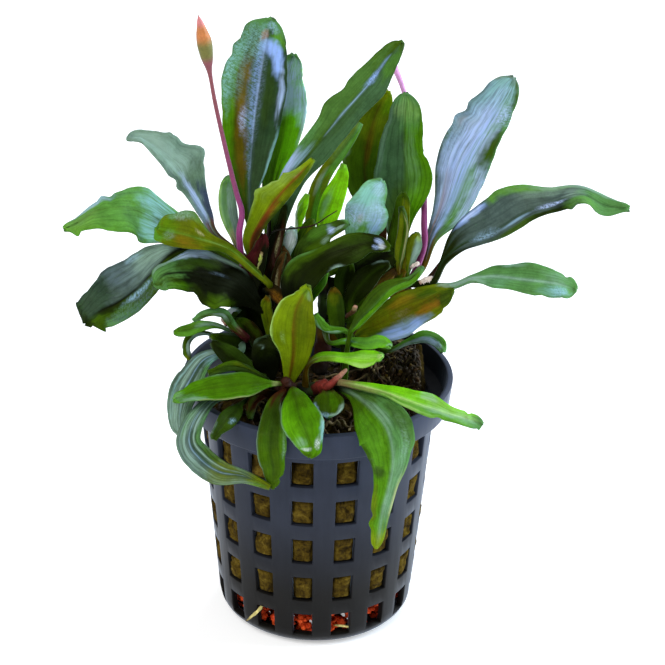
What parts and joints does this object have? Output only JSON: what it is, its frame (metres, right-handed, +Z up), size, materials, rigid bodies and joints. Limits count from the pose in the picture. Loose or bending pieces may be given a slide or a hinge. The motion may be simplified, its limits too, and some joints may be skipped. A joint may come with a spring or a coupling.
{
  "type": "potted bucephalandra",
  "caption": "Rooted aquarium plant with glossy green, olive and dark lance-shaped leaves and pink flower stalks, in a slotted net pot packed with mineral wool.",
  "frame": {"origin": "centre of the pot's flat underside", "axes": "+Z up through the pot's axis, -Y towards the side that the picture shows, +X to its right"},
  "size_m": [0.1008, 0.0542, 0.119],
  "materials": {
    "pot_plastic": "satin blue-black moulded plastic with faint mould lines",
    "wool": "coarse yellow-brown mineral wool with dark fine roots",
    "feed": "loose orange-red grains",
    "stem": "dark reddish-brown creeping stem with pale leaf scars",
    "flower": "smooth crimson-pink stalk and salmon bud",
    "leaf_green": "waxy green leaf with fine parallel veins and a pale blue sheen",
    "leaf_dark": "waxy blue-black leaf with fine parallel veins",
    "leaf_olive": "waxy olive to brown leaf with a red-brown rib"
  },
  "bodies": {
    "root": {"feed": "feed", "flower_left": "flower", "flower_right": "flower", "leaf_arching_dark": "leaf_dark", "leaf_backlit": "leaf_green", "leaf_brown_behind": "leaf_olive", "leaf_bud_olive": "leaf_olive", "leaf_centre_dark": "leaf_dark", "leaf_centre_glossy": "leaf_green", "leaf_centre_pale": "leaf_green", "leaf_front_drop": "leaf_green", "leaf_front_folded": "leaf_green", "leaf_front_hanging": "leaf_green", "leaf_front_large": "leaf_green", "leaf_front_left": "leaf_green", "leaf_front_lime": "leaf_green", "leaf_front_upright": "leaf_olive", "leaf_green_short": "leaf_green", "leaf_left_back": "leaf_green", "leaf_left_curled": "leaf_green", "leaf_left_dark": "leaf_dark", "leaf_left_drooping": "leaf_green", "leaf_left_green": "leaf_green", "leaf_left_olive": "leaf_olive", "leaf_left_wide": "leaf_dark", "leaf_lime_short": "leaf_green", "leaf_narrow_olive": "leaf_olive", "leaf_navy_left": "leaf_dark", "leaf_navy_right": "leaf_dark", "leaf_right_broad": "leaf_green", "leaf_right_long": "leaf_dark", "leaf_right_narrow": "leaf_green", "leaf_right_pale": "leaf_green", "leaf_right_small": "leaf_green", "leaf_right_tall": "leaf_dark", "leaf_rim_right": "leaf_green", "leaf_rolled": "leaf_olive", "leaf_sliver": "leaf_green", "leaf_small_dark": "leaf_dark", "leaf_small_low": "leaf_olive", "leaf_small_olive": "leaf_olive", "leaf_small_round": "leaf_dark", "leaf_small_upright": "leaf_olive", "leaf_tall": "leaf_green", "leaf_tall_behind": "leaf_green", "leaf_teal_curl": "leaf_green", "leaf_tiny_arch": "leaf_green", "leaf_tiny_blue": "leaf_green", "leaf_tiny_grey": "leaf_green", "leaf_tiny_hanging": "leaf_green", "leaf_tiny_left": "leaf_green", "leaf_wavy": "leaf_olive", "leaf_young_left": "leaf_green", "pot": "pot_plastic", "stem_centre": "stem", "stem_front": "stem", "stem_left": "stem", "stem_right": "stem", "stem_side": "stem", "wool": "wool"}
  },
  "joints": []
}
